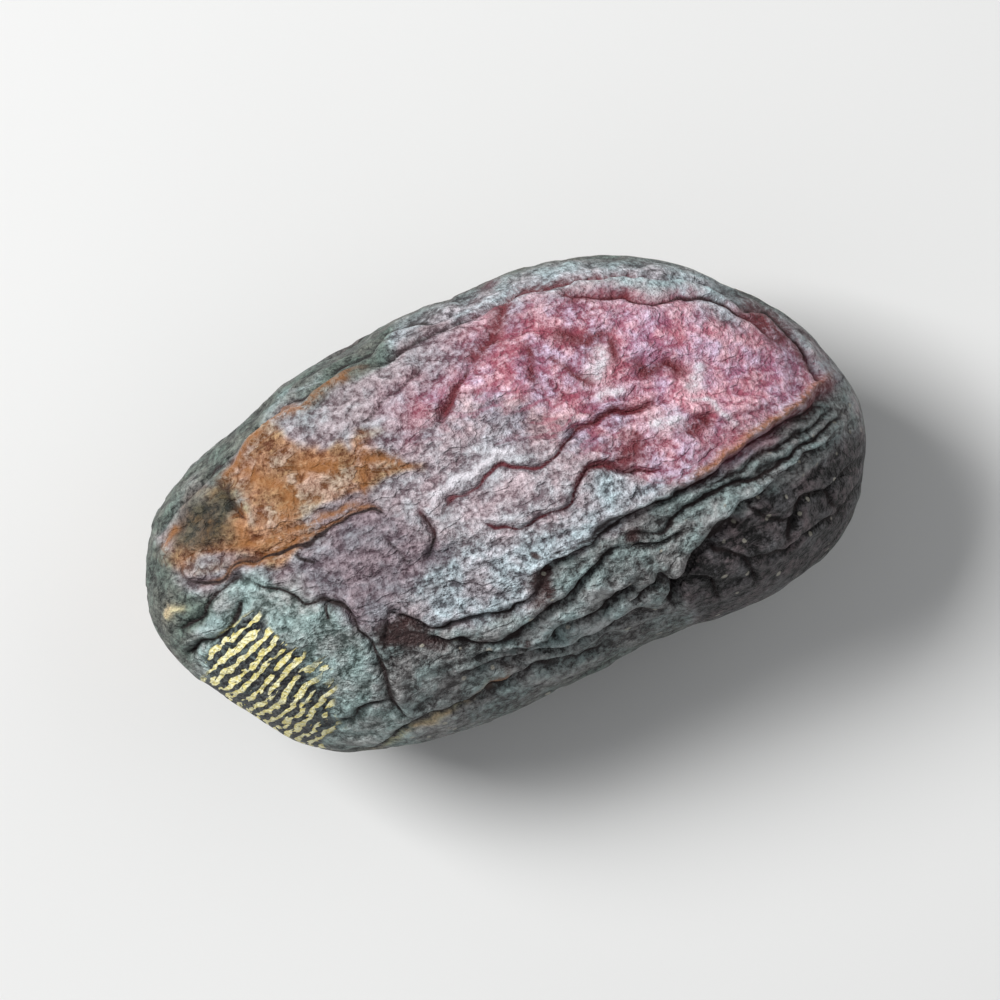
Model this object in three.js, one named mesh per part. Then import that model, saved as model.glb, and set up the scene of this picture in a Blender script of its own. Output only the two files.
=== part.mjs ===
// A dried date lying on its side.  It is made of two pieces: the fruit, which grew
// as one body, and the woody calyx cap that stays on its stem end.
// Millimetres, +Z up.  The fruit rests on a small flat spot at z = 0, +X runs along
// it from the stem end to the tip, and +Y is the fuller side of its outline.
import * as THREE from 'three';
import { mergeVertices } from 'three/addons/utils/BufferGeometryUtils.js';

// Driving dimensions of the fruit.
const LENGTH = 50.2;
const WIDTH = 27.6;
const HEIGHT = 25;
const FLAT_SPOT_DEPTH = 0.35;
const STEM_DIMPLE_DEPTH = 0.95;
const STEM_DIMPLE_REACH = 0.1;

// The spine is the line through the middle of the fruit, from the stem end to the
// tip.  It droops at the stem end, so the calyx faces outwards and down.
// Each point is [along LENGTH, across WIDTH, up HEIGHT].
const SPINE = [
  [-0.452, 0.05, 0.32],
  [-0.36, 0.02, 0.405],
  [-0.22, 0, 0.47],
  [0, 0.02, 0.5],
  [0.18, 0.01, 0.495],
  [0.35, -0.05, 0.455],
  [0.5, -0.15, 0.39],
];

// How far the skin stands from the spine at 13 stations, stem end first, as a
// fraction of half the WIDTH (left is +Y, right is -Y) or of half the HEIGHT.
const LEFT_REACH = [0, 0.37, 0.58, 0.78, 0.92, 0.99, 1.02, 1.04, 0.94, 0.72, 0.46, 0.21, 0];
const RIGHT_REACH = [0, 0.24, 0.51, 0.83, 0.975, 0.985, 0.95, 0.905, 0.84, 0.75, 0.6, 0.36, 0];
const UPPER_REACH = [0, 0.44, 0.69, 0.84, 0.93, 0.98, 0.98, 0.97, 0.92, 0.78, 0.56, 0.29, 0];
const LOWER_REACH = [0, 0.29, 0.55, 0.77, 0.92, 1, 1.01, 1, 0.92, 0.75, 0.53, 0.28, 0];

// The cross-section is a full oval with five blunt lengthwise crests.  The angles
// are degrees round the spine from +Y, through the top.
const SECTION_FULLNESS = 2.25;
const CREST_COUNT = 5;
const CREST_HEIGHT = 0.026;
const CREST_ANGLE_AT_STEM = 122;
const CREST_ANGLE_AT_TIP = 92;

// Driving dimensions of the calyx.
const CALYX_RADIUS = 4.2;
const CALYX_THICKNESS = 1.8;
const CALYX_FLATTENING = 0.88;
const CALYX_LOBES = 3;
const CALYX_LOBE_REACH = 0.055;
const CALYX_GAP = 0.35;

// Faces round and along each piece.
const FRUIT_FACES_AROUND = 60;
const FRUIT_FACES_ALONG = 44;
const CALYX_FACES_AROUND = 36;

// The calyx from its flat underside, round its rim and over two steps, to the hollow
// scar where the stalk broke off: [fraction of the radius, fraction of the thickness].
const CALYX_PROFILE = [
  [0, 0],
  [0.55, 0],
  [0.86, 0.02],
  [0.97, 0.14],
  [1, 0.3],
  [0.95, 0.48],
  [0.84, 0.58],
  [0.73, 0.64],
  [0.68, 0.78],
  [0.52, 0.9],
  [0.4, 0.94],
  [0.36, 1],
  [0.27, 0.98],
  [0.2, 0.76],
  [0.1, 0.68],
  [0, 0.66],
];

const spine = new THREE.CatmullRomCurve3(
  SPINE.map(([along, across, up]) => new THREE.Vector3(along * LENGTH, across * WIDTH, up * HEIGHT)),
);

// A smooth curve through values that are evenly spaced from the stem end to the tip.
function throughStations(values) {
  const curve = new THREE.SplineCurve(values.map((value, index) => new THREE.Vector2(index, value)));
  return (station) => curve.getPoint(station).y;
}

const leftReach = throughStations(LEFT_REACH);
const rightReach = throughStations(RIGHT_REACH);
const upperReach = throughStations(UPPER_REACH);
const lowerReach = throughStations(LOWER_REACH);

// The spine's point at a station, and the directions along, across and up from it.
// Stations are closer together near the ends, which makes both ends round.
function frameAt(station) {
  const fraction = (1 - Math.cos(Math.PI * station)) / 2;
  const along = spine.getTangentAt(fraction);
  const across = new THREE.Vector3(0, 0, 1).cross(along).normalize();
  const up = along.clone().cross(across);
  return { point: spine.getPointAt(fraction), along, across, up };
}

// Distance from the spine to the skin at an angle round a station.
function skinDistance(station, angle) {
  const across = Math.cos(angle);
  const up = Math.sin(angle);
  const halfWidth = (WIDTH / 2) * (across > 0 ? leftReach(station) : rightReach(station));
  const halfHeight = (HEIGHT / 2) * (up > 0 ? upperReach(station) : lowerReach(station));
  if (halfWidth <= 0 || halfHeight <= 0) {
    return 0;
  }
  const acrossPart = Math.abs(across / halfWidth) ** SECTION_FULLNESS;
  const upPart = Math.abs(up / halfHeight) ** SECTION_FULLNESS;
  const oval = (acrossPart + upPart) ** (-1 / SECTION_FULLNESS);
  const crestAngle = THREE.MathUtils.degToRad(
    THREE.MathUtils.lerp(CREST_ANGLE_AT_STEM, CREST_ANGLE_AT_TIP, station),
  );
  const crest = Math.cos(CREST_COUNT * (angle - crestAngle)) * Math.sin(Math.PI * station);
  return oval * (1 + CREST_HEIGHT * crest);
}

// How far the stem end is pushed in, so that the calyx has a level seat.
function dimpleDepth(station) {
  return STEM_DIMPLE_DEPTH * (1 - THREE.MathUtils.smoothstep(station, 0, STEM_DIMPLE_REACH));
}

// A closed surface with only positions, whose shared corners are one vertex.
function joinCorners(geometry) {
  geometry.deleteAttribute('normal');
  geometry.deleteAttribute('uv');
  return mergeVertices(geometry);
}

// The fruit: a sphere with its poles at the stem end and the tip, drawn out to the
// skin, then levelled underneath where it rests.
function fruitGeometry() {
  const sphere = new THREE.SphereGeometry(1, FRUIT_FACES_AROUND, FRUIT_FACES_ALONG);
  sphere.rotateZ(Math.PI / 2);
  const geometry = joinCorners(sphere);
  const position = geometry.attributes.position;
  for (let index = 0; index < position.count; index += 1) {
    const poleHeight = THREE.MathUtils.clamp(position.getX(index), -1, 1);
    const station = Math.acos(-poleHeight) / Math.PI;
    const angle = Math.atan2(position.getZ(index), position.getY(index));
    const { point, along, across, up } = frameAt(station);
    const distance = skinDistance(station, angle);
    point.addScaledVector(along, dimpleDepth(station));
    point.addScaledVector(across, distance * Math.cos(angle));
    point.addScaledVector(up, distance * Math.sin(angle));
    position.setXYZ(index, point.x, point.y, Math.max(point.z - FLAT_SPOT_DEPTH, 0));
  }
  geometry.computeVertexNormals();
  return geometry;
}

// The calyx: a turned cap, slightly oval, whose rim swells into blunt lobes.  It is
// turned about its own +Y, with its underside at y = 0.
function calyxGeometry() {
  const profile = CALYX_PROFILE.map(
    ([radius, height]) => new THREE.Vector2(radius * CALYX_RADIUS, height * CALYX_THICKNESS),
  );
  const geometry = joinCorners(new THREE.LatheGeometry(profile, CALYX_FACES_AROUND));
  const position = geometry.attributes.position;
  for (let index = 0; index < position.count; index += 1) {
    const x = position.getX(index);
    const z = position.getZ(index);
    const lobe = 1 + CALYX_LOBE_REACH * Math.cos(CALYX_LOBES * Math.atan2(z, x));
    position.setXYZ(index, x * lobe, position.getY(index), z * lobe * CALYX_FLATTENING);
  }
  geometry.computeVertexNormals();
  return geometry;
}

function dateFruit() {
  const skin = new THREE.MeshStandardMaterial({ color: 0x5b4a52, roughness: 0.55, metalness: 0 });
  const fruit = new THREE.Mesh(fruitGeometry(), skin);
  fruit.name = 'date_fruit';
  return fruit;
}

// The calyx sits in the dimple, facing away along the spine.
function calyx() {
  const cap = new THREE.MeshStandardMaterial({ color: 0xc9822f, roughness: 0.6, metalness: 0 });
  const piece = new THREE.Mesh(calyxGeometry(), cap);
  piece.name = 'calyx';
  const { point, along, across } = frameAt(0);
  const outward = along.clone().negate();
  piece.quaternion.setFromRotationMatrix(
    new THREE.Matrix4().makeBasis(across, outward, across.clone().cross(outward)),
  );
  piece.position.copy(point).addScaledVector(along, STEM_DIMPLE_DEPTH - CALYX_GAP);
  piece.position.z -= FLAT_SPOT_DEPTH;
  return piece;
}

// Both pieces, moved so that the origin is the middle of the box they fill, at its foot.
function dateOnItsSide() {
  const whole = new THREE.Group();
  whole.add(dateFruit(), calyx());
  const middle = new THREE.Box3().setFromObject(whole, true).getCenter(new THREE.Vector3());
  for (const piece of whole.children) {
    piece.position.x -= middle.x;
    piece.position.y -= middle.y;
  }
  whole.updateMatrixWorld(true);
  return whole;
}

export default dateOnItsSide();
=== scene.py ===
"""The looks of a dried date: wrinkled skin with a waxy bloom, and a woody calyx cap.

The fruit's skin is a fine mesh that starts from the CAD fruit's own surface and is pressed in along
creases.  The creases that show from above are listed one by one; the rest grow from seeded patterns.
Lengths are in millimetres until a mesh is made, and the frame's +X runs towards the tip.
"""

import math

import bpy
import numpy as np
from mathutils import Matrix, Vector
from mathutils.bvhtree import BVHTree


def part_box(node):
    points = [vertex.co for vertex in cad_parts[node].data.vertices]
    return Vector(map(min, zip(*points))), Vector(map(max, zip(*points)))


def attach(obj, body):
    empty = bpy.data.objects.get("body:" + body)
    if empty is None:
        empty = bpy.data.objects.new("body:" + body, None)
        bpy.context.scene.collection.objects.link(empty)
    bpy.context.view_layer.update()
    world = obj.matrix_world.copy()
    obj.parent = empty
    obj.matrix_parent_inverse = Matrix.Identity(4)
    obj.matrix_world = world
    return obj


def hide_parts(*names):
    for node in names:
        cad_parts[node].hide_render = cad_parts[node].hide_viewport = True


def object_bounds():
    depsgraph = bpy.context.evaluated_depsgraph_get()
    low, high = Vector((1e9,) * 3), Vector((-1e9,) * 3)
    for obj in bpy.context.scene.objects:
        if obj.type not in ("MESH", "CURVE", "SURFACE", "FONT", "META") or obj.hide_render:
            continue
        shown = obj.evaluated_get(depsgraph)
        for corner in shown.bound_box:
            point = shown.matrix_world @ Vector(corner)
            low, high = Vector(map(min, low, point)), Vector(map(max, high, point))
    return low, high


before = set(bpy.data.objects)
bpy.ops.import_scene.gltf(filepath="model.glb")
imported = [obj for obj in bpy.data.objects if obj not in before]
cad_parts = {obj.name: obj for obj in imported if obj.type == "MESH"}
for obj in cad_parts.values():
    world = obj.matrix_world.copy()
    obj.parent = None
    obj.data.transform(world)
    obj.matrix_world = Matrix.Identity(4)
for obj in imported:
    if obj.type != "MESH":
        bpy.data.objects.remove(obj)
cad_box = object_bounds()

METRES = 0.001

# ----- Driving values -----

# The fruit's mesh: rings from the stem end to the tip, and columns round it.
RINGS = 292
COLUMNS = 338
TOP_DENSITY = 0.28  # 0 spaces the columns evenly; more moves them towards the upper side
CAD_SMOOTHING = 0.9  # the distance over which the facets of the CAD fruit are evened out
SKIN_INSET = 0.02  # how far the skin lies inside the CAD fruit where it has no relief

# The line that the skin is measured from: a curve from the calyx over a middle point to the tip.
SPINE_MIDDLE = (-0.06, 0.05, 0.64)  # fractions of the fruit's box, from the middle of its foot
SPINE_USED = (0.14, 0.86)  # the part of that curve that rays leave from

# Folds that show from above: (depth, half width, step, points).  A positive step lifts the side to
# the left of the line's direction.  Points are (x, y), measured from the middle of the fruit.
FOLDS = [
    # the two wavy creases across the broad upper plateau
    (0.34, 0.26, 0.12, [(-5.2, 0.6), (-3, 1.1), (-0.9, 1.7), (0.3, 2), (1.3, 1.8), (2.6, 1.4),
        (4.1, 1.7), (5.4, 2.3), (6.6, 3.2), (8.2, 3.1), (10.2, 2.9), (12.8, 3.2)]),
    (0.34, 0.26, 0.12, [(-1.8, -0.8), (-0.9, -1.4), (0.3, -2), (2, -2), (3.5, -2), (4.7, -1.4),
        (5.6, -0.4), (6.8, 0.2), (7.8, 0.1), (8.6, -0.6), (9.8, -1.2), (11.2, -1.3)]),
    # the plateau's long lower edge, from the middle to the tip, with its second line
    (0.62, 0.30, 0.42, [(0.6, -6.1), (1.2, -5.6), (2, -5.1), (3.6, -4.8), (5.4, -4.4), (7, -4.1),
        (10, -3.5), (12.6, -3.2), (15, -2.5), (18, -1.6), (20, -1), (22, -0.6), (24, 0.4)]),
    (0.30, 0.24, 0.06, [(1.4, -4.8), (2.7, -4.2), (3.8, -4.2), (5.6, -4), (8.4, -3.4)]),
    (0.38, 0.26, 0.08, [(6.9, -4.9), (9.4, -5.2), (12.2, -4.4), (14.6, -4.1), (17, -3.8),
        (19.6, -3.2), (22, -2.4), (24.2, -1.6)]),
    (0.26, 0.22, 0.05, [(13, -3.8), (15.4, -3.3), (18.2, -2.7), (21, -1.8), (23.6, -0.9)]),
    # the edge of the dark flank below it
    (0.66, 0.40, 0.40, [(8.6, -10.4), (9.3, -9.4), (9.9, -8.6), (10.8, -7.8), (12.4, -7.1),
        (13.4, -6.4), (14.8, -5.6), (16.4, -5), (18.6, -4.3), (21, -3.7), (24.2, -2.6)]),
    # the pleats of the lower flank
    (0.50, 0.30, 0.16, [(-9.6, -4.9), (-8.4, -5.7), (-7.2, -6.7), (-6.2, -6.8), (-4.4, -6.6),
        (-2.8, -6.9), (-1, -6.9), (0.4, -6.2)]),
    (0.56, 0.32, 0.20, [(-7.6, -7), (-6.6, -7.8), (-5, -8.4), (-3.6, -8.9), (-2, -8.7), (0, -8.2),
        (1.6, -7.8), (3, -7.1), (4.6, -6.4), (6.6, -5.6)]),
    (0.60, 0.34, 0.24, [(-5.2, -9.6), (-3.2, -9.7), (-1, -9.5), (1.6, -9.4), (3.4, -9), (5.6, -8.4),
        (6.6, -8.1)]),
    (0.46, 0.28, 0.14, [(5.8, -9.3), (7.2, -8.8), (8.6, -8.3)]),
    (0.52, 0.34, 0.20, [(-6.6, -10.6), (-4, -10.7), (-1.4, -10.4), (1.6, -10.6), (4.6, -10.4),
        (8, -10.6)]),
    (0.46, 0.32, 0.16, [(-15.4, -13), (-12.6, -13.1), (-9.4, -12.6), (-6.2, -12.2), (-3, -11.8),
        (0.6, -11.8), (4.4, -11.6)]),
    (0.30, 0.26, 0.05, [(6.8, -5.9), (8, -6.1), (9.6, -5.8), (10.6, -5.9)]),
    (0.56, 0.50, 0.00, [(8.4, -8.1), (9.3, -8.6), (9.2, -9.6), (8.6, -10.5)]),
    # the crease that crosses the stem half, and the short ones beside it
    (0.40, 0.28, 0.16, [(-18, 0.4), (-16.8, -0.6), (-15.4, -1.6), (-14.4, -2.3), (-12.8, -2.6),
        (-11.9, -4.2), (-11.4, -6.4), (-11.1, -8.4), (-11.3, -10.4), (-10.8, -11.6), (-10, -12.4)]),
    (0.42, 0.28, 0.10, [(-15.2, -11.3), (-13.2, -10.9), (-11.4, -10.5)]),
    (0.34, 0.26, 0.00, [(-12.9, -2.7), (-13.2, -4)]),
    (0.30, 0.26, 0.00, [(-14.2, 0.8), (-13.4, 0.2)]),
    (0.26, 0.24, 0.06, [(-10.4, -8.6), (-10.4, -6.6), (-9.6, -5.2), (-8.6, -4.6)]),
    # the edge between the tan patch and the slate skin, and the crease above the hatching
    (0.40, 0.28, 0.22, [(-7, 1.2), (-7.8, 2), (-8.7, 2.4), (-10.2, 2), (-11.8, 1.6), (-13.2, 1.3),
        (-14.8, 1.3), (-16.4, 1.5), (-18.2, 1.1), (-19.4, 0.8), (-20.6, 1.2), (-22.6, 2.4)]),
    (0.50, 0.30, 0.16, [(-23.8, -3.6), (-22.6, -3.1), (-21, -2.5), (-19.4, -1.9), (-18.4, -1.3)]),
    (0.34, 0.26, 0.08, [(-23.6, -1.5), (-21.8, -1.2), (-20.4, -0.4), (-19.4, 0.3), (-17.8, 0.5)]),
    # the hook in the middle, and the slanting lines above it
    (0.36, 0.28, 0.00, [(-5.6, 1.1), (-5, -0.2), (-5.2, -1.4), (-6.3, -2.1)]),
    (0.22, 0.24, 0.04, [(-8.4, 0.2), (-8, -1.2), (-6.8, -2)]),
    (0.20, 0.28, 0.10, [(-7.6, 7.4), (-6.2, 8.1), (-4.8, 9), (-3.2, 9.8), (-1.8, 10.4)]),
    (0.30, 0.26, 0.06, [(-2.8, 6.2), (-1.4, 7.2), (-0.2, 8.2), (0.8, 9)]),
    (0.26, 0.24, 0.06, [(-5, 11.2), (-2.4, 11.8), (0.4, 12.3), (3, 12.7)]),
    # the rim round the plateau's far side
    (0.62, 0.34, -0.22, [(2.6, 12.7), (4, 12.6), (6.6, 12.6), (9, 12.6), (11, 12.2), (12.8, 11.7),
        (14.6, 11), (16.6, 9.9), (18.6, 8.5), (20.4, 7.1)]),
    (0.40, 0.28, -0.14, [(8.2, 11.5), (10, 10.8), (12, 10.2), (13, 9.5), (15.4, 8.9), (17.6, 8),
        (19.2, 6.9), (20, 5.8), (20.7, 4.6)]),
    (0.42, 0.28, -0.10, [(19.6, 7.2), (21, 6.9), (21.8, 5.6), (22.3, 4), (22.8, 2.2), (22.9, 0.8)]),
    # the far flank beyond the tan patch's ridge
    (0.36, 0.30, -0.20, [(-22.6, 5), (-20, 6.9), (-17.6, 8.3), (-14.8, 9.3), (-12.4, 9.9),
        (-10, 10.9), (-7.2, 11.8), (-3, 12.8), (2.4, 13.4)]),
    # the hollow in the tan patch
    (0.20, 0.50, 0.10, [(-16.6, 4.2), (-17, 5), (-17.4, 6.2), (-17, 7.3)]),
    (0.14, 0.20, 0.00, [(-12.6, 6.6), (-10.6, 6), (-9.4, 5.2), (-8.7, 3.6)]),
    (0.14, 0.20, 0.00, [(-8.7, 3.4), (-7.9, 4.6), (-7.2, 5.6), (-6, 4.9), (-4.9, 4.2)]),
    # the cracks of the dark flank
    (0.40, 0.26, 0.06, [(14.2, -9), (16, -9.3), (17.4, -9.1), (18.8, -8.5), (20.6, -8.3),
        (22.2, -7.9), (23.8, -7)]),
    (0.40, 0.26, 0.08, [(17.2, -9), (18, -7.6), (19, -6.7), (20.4, -6.2), (22.2, -6), (24.2, -5)]),
    (0.34, 0.26, 0.00, [(21.3, -6.2), (21.2, -7.2), (21.7, -8)]),
    (0.34, 0.26, 0.05, [(10.4, -9), (11.6, -9.9), (12, -11.4)]),
    (0.34, 0.26, 0.05, [(12, -7.6), (13.4, -8.4), (14.4, -9), (14.6, -10.6)]),
    (0.26, 0.24, 0.00, [(15.6, -5.6), (16.6, -7), (18, -7.4)]),
    # faint creases on the plateau
    (0.16, 0.24, 0.00, [(12.8, 3.2), (13.6, 4.2), (13.4, 6), (12.6, 7.6), (13, 9.2)]),
    (0.16, 0.24, 0.00, [(13.2, 1.8), (14.8, 0.6), (16.4, 0.2), (18.6, 0.2), (21, 0.6)]),
    (0.14, 0.24, 0.00, [(4.8, 9.8), (4.4, 8), (4.6, 6), (5.4, 4.4)]),
    (0.14, 0.24, 0.00, [(6.6, 9.2), (7.4, 7.4), (8.2, 5.4), (8, 4)]),
]

# Raised or sunken lines by the tone that they take: (height, half width, points) of each.
STROKES = {
    "rust": [
        (0.30, 0.24, [(-17.8, 7.5), (-16.4, 7.6), (-15, 8.4), (-13.2, 9.2), (-11.4, 9.8),
            (-9.6, 10.3), (-7.6, 10.8), (-5.8, 11.1)]),
        (0.40, 0.30, [(11.6, -2.9), (14, -2.1), (17, -1.2), (20, -0.3), (22.4, 0.6), (24, 1.3)]),
        (0.14, 0.16, [(-20.4, 1), (-19, 0.9), (-17, 1.3), (-14.6, 1.5), (-12.4, 1.7), (-10.4, 2.2),
            (-8.8, 2.6), (-7.6, 2)]),
        (0.05, 0.30, [(-18.4, 2.4), (-16.4, 2.3), (-13.6, 2.2), (-11, 2.7), (-9, 3)]),
        (0.12, 0.18, [(-4.9, -12), (-4, -11.7), (-2.8, -11.3)]),
        (0.05, 0.50, [(-15.6, 7.6), (-14.6, 6.2), (-13.2, 5.2), (-13.6, 4), (-14.6, 2.8)]),
        (0.05, 0.50, [(-12.4, 7), (-11.2, 6.2), (-10.2, 5.6), (-8.9, 5.7)]),
        (0.05, 0.24, [(-8.8, 3), (-8.2, 4.4), (-7.4, 5.4), (-6, 4.8), (-4.7, 4.2)]),
        (0.03, 0.32, [(-22.6, 3.6), (-21.8, 4.3), (-21.2, 4.8)]),
        (0.03, 0.40, [(-17, 4.2), (-17.2, 3), (-17.6, 2)]),
    ],
    "wine": [
        (-0.24, 0.66, [(0.5, 8.9), (1.8, 10), (3.2, 10.9), (4.2, 11.8), (5.6, 12.4)]),
        (-0.12, 1.20, [(19.2, 7.4), (20.4, 6.3), (21.2, 5.1), (21.7, 4.2)]),
        (-0.10, 0.40, [(21.5, 4.4), (22.2, 3), (22.6, 1.4)]),
        (-0.10, 0.50, [(20.8, -0.6), (22.4, 0), (23.8, 1)]),
        (-0.10, 0.36, [(6, 3), (8.2, 3.1), (10.4, 2.9), (12, 3.1)]),
        (-0.10, 0.34, [(4.6, -1.2), (5.6, -0.3), (7, 0.2), (8.4, -0.2)]),
        (-0.10, 0.62, [(7.6, 0.6), (8.8, 0.2), (9.6, 0.8), (10, 1.2)]),
        (-0.12, 0.80, [(12.8, -0.2), (13.8, 0.8), (14.9, 0.5)]),
        (-0.10, 0.50, [(11.2, 5.9), (12.4, 5.3), (13.6, 5), (13.9, 3.8)]),
        (-0.10, 0.36, [(8, 12.2), (8.8, 11), (10.8, 10.5), (12.4, 10.1), (13, 9.3)]),
        (-0.05, 0.34, [(2.6, 12.8), (5, 12.7), (8, 12.7), (10.6, 12.5), (12.6, 11.9),
            (14.6, 11.1)]),
        (-0.08, 0.44, [(6.4, 9.4), (7.6, 9), (8.8, 8.3), (10.4, 8.2)]),
        (-0.06, 0.34, [(10.4, 8.2), (10.3, 7), (10, 6)]),
        (-0.08, 0.40, [(-2.4, 6.4), (-1.2, 7.2), (-0.2, 8.2)]),
        (-0.03, 0.26, [(4.8, 9.6), (4.9, 8.6), (4.2, 7.4), (4.5, 6.2)]),
        (-0.03, 0.26, [(5.6, 8), (6.8, 7.4), (7.6, 6.2), (8.2, 5)]),
    ],
    "chalk": [
        (0.28, 0.48, [(11.2, -6.7), (12.8, -5.9), (14.4, -5.2), (16.6, -4.5), (19.4, -3.8),
            (22.2, -3.2), (24.2, -2.3)]),
        (0.24, 0.34, [(-17.2, 6.4), (-16.4, 5.9), (-16, 5), (-15.9, 4.2), (-16.4, 3.4)]),
        (0.18, 0.36, [(-6.6, -7.2), (-4.4, -7.5), (-2, -7.9), (0.6, -7.4), (3, -6.4), (5.4, -5.5)]),
        (0.18, 0.36, [(-4, -9.2), (-0.6, -8.9), (2.4, -8.5), (5, -7.6), (7.6, -7.2)]),
        (0.18, 0.40, [(-1.6, -10), (2, -9.9), (5.4, -9.4), (7.8, -9.4)]),
        (0.14, 0.70, [(9.2, 12), (12, 11.2), (14.6, 10), (17.4, 8.9), (20.2, 7.5)]),
        (0.18, 0.46, [(22.4, 4.4), (23.2, 3), (23.6, 1.6)]),
        (0.10, 0.30, [(2, -4.9), (4, -4.5), (6.6, -3.9), (9.4, -3.3), (11.4, -3)]),
        (0.12, 0.40, [(-22.4, -2.4), (-20.6, -1.6), (-19, -0.8), (-17.4, -0.4)]),
        (0.06, 0.24, [(-13.6, 10.3), (-11.4, 11), (-8.8, 12)]),
    ],
    "straw": [
        (0.16, 0.34, [(-23.8, -0.4), (-23, 0.1), (-22, -0.2)]),
        (0.12, 0.15, [(-15.6, -13.6), (-12, -13.2), (-9, -12.8), (-6.6, -12.3), (-4.9, -11.7)]),
    ],
    "frost": [
        (0.08, 0.80, [(10.9, 1.6), (12.2, 1.4), (13.2, 1.6)]),
        (0.08, 0.60, [(14, 3), (14.8, 3.8), (15.4, 4.8)]),
        (0.05, 0.24, [(13.8, 2.6), (15, 1.8), (16, 0.6), (16.4, -0.6)]),
        (0.05, 0.75, [(8, 5.4), (9, 6.6), (9.4, 7.8)]),
        (0.04, 0.34, [(8.2, 4.3), (9.6, 4.3), (10.6, 4.4)]),
        (0.10, 0.22, [(-4.8, 1.2), (-2.6, 1.7), (0.2, 2.6), (2, 2.5)]),
    ],
}

# Outlines, seen from above, of the patches of skin that differ.  A bare spot is (x, y, radius).
PLATEAU = [(-3.4, 6.6), (-1, 9), (2.4, 11.8), (6.6, 12), (9.4, 10.6), (13.2, 8.9), (18.2, 7),
    (22, 3.4), (23, 0.8), (20, -0.6), (13, -2.2), (9.6, -1.2), (5.4, 1.6), (1, 5)]
RED_TIP = [(11, 9), (15, 8.8), (19.6, 6.2), (22.4, 2.2), (21, 0.2), (15.6, -0.8), (13, 0.6),
    (11.4, 3.8)]
TAN_PATCH = [(-22.8, 3.5), (-21, 5.2), (-19.2, 6.8), (-15.6, 8.2), (-12.6, 9.3), (-11.6, 8.4),
    (-11.4, 7.6), (-9.6, 7.5), (-8.6, 6.4), (-7.3, 7), (-6.2, 6), (-4.2, 3.9), (-6.4, 3.1),
    (-8.6, 2.5), (-12, 1.6), (-16.6, 1.6), (-19, 3), (-21.4, 3.3)]
UMBER_PATCH = [(-21.8, 5), (-20, 7), (-17.4, 7.2), (-16.8, 5.6), (-17.4, 3.6), (-19.4, 3.6),
    (-21, 4.2)]
HATCHED = [(-23.2, -4.8), (-22.4, -3.4), (-18.8, -1.2), (-17.2, -1.5), (-16.6, -4), (-16, -6.4),
    (-14.4, -7.2), (-14.2, -9.8), (-15, -12), (-17.6, -12.8), (-20.6, -11), (-23, -8.2)]
SLATE = [(-25, 2.4), (-20, 1), (-17.2, 0.9), (-14.6, -0.6), (-12.6, -3), (-11.6, -7),
    (-11.2, -10.6), (-10.4, -13.8), (-16, -14.4), (-22, -10), (-26, -4)]
# The stem side and the far side: slate skin with the flank's painted shade over it.
STEM_SIDE = [(-26.5, 8), (-22.6, 5.2), (-21.6, 2.6), (-20.6, 0.6), (-22.4, -2), (-23.2, -3.6),
    (-23.2, -7), (-26.5, -7)]
FAR_SIDE = [(-24.4, 3.6), (-22.2, 5.4), (-20, 7), (-17.2, 7.8), (-15, 8.8), (-12.6, 9.8),
    (-9.6, 10.8), (-6, 11.8), (-3, 12.6), (-3, 15), (-26, 12)]
GREY_MIDDLE = [(-17, 0.6), (-12, 1), (-8.6, 1.8), (-6.2, 0.4), (-5.4, -2.4), (-8, -4.4),
    (-11.4, -5.2), (-12.8, -2.6)]
LAVENDER = [(-6.4, 6.4), (-4.6, 9.8), (-1.6, 11.4), (2.6, 12.6), (4, 12), (1.2, 9.4), (-1, 7.6),
    (-3.4, 5.2)]
FAR_RIM = [(-3, 12.8), (4, 12.9), (8.4, 11.9), (12, 10.5), (15, 9.2), (18.4, 7.8), (21.4, 6.4),
    (23.2, 3), (25.6, 2), (22, 9), (16, 13), (8, 15.6), (-3, 15.6)]
MILKY = [(-6, 3), (-3.4, 5.6), (0.4, 6.6), (4.2, 5.2), (6.2, 3.6), (8.6, 1.8), (6, 0.2),
    (4.4, -1.6), (0, -1.6), (-4.4, -2), (-5, 0.4)]
# The dark flank below the tip: its own dark purple-brown skin with painted shade on it.
DARK_FLANK = [(24.8, -3), (18.6, -4.6), (13.2, -6.9), (10.2, -8.8), (9, -11), (10, -14.4),
    (18, -13), (26, -8)]
PALE_BAND = [(-5, -2.6), (-1, -2.6), (4, -2.2), (6.6, -0.4), (9, -1.2), (11, -1.8), (10.6, -3),
    (4, -4), (1, -5), (-1.4, -6.2), (-6, -6.2), (-8, -4.6)]
LOWER_SIDE = [(-11, -6), (-7, -6.6), (-1, -6.6), (2, -5.2), (7, -4.2), (12.6, -3.3), (24.6, 0),
    (24.6, -3), (13, -7), (9, -11), (8, -14.4), (-12, -15)]
BALD_PATCH = [(-10.6, -5.6), (-9.2, -5.2), (-7.4, -6.8), (-6, -8.4), (-8.6, -9), (-10.6, -8.8)]
BARE_SPOTS = [(0, -6.6, 1.3), (6.9, -5, 0.7), (-3.4, -9.5, 0.9), (-1.2, -10.2, 0.8),
    (14.8, -6.9, 0.9), (12.4, -9.4, 1.2), (0.2, -3.7, 0.5)]

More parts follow.
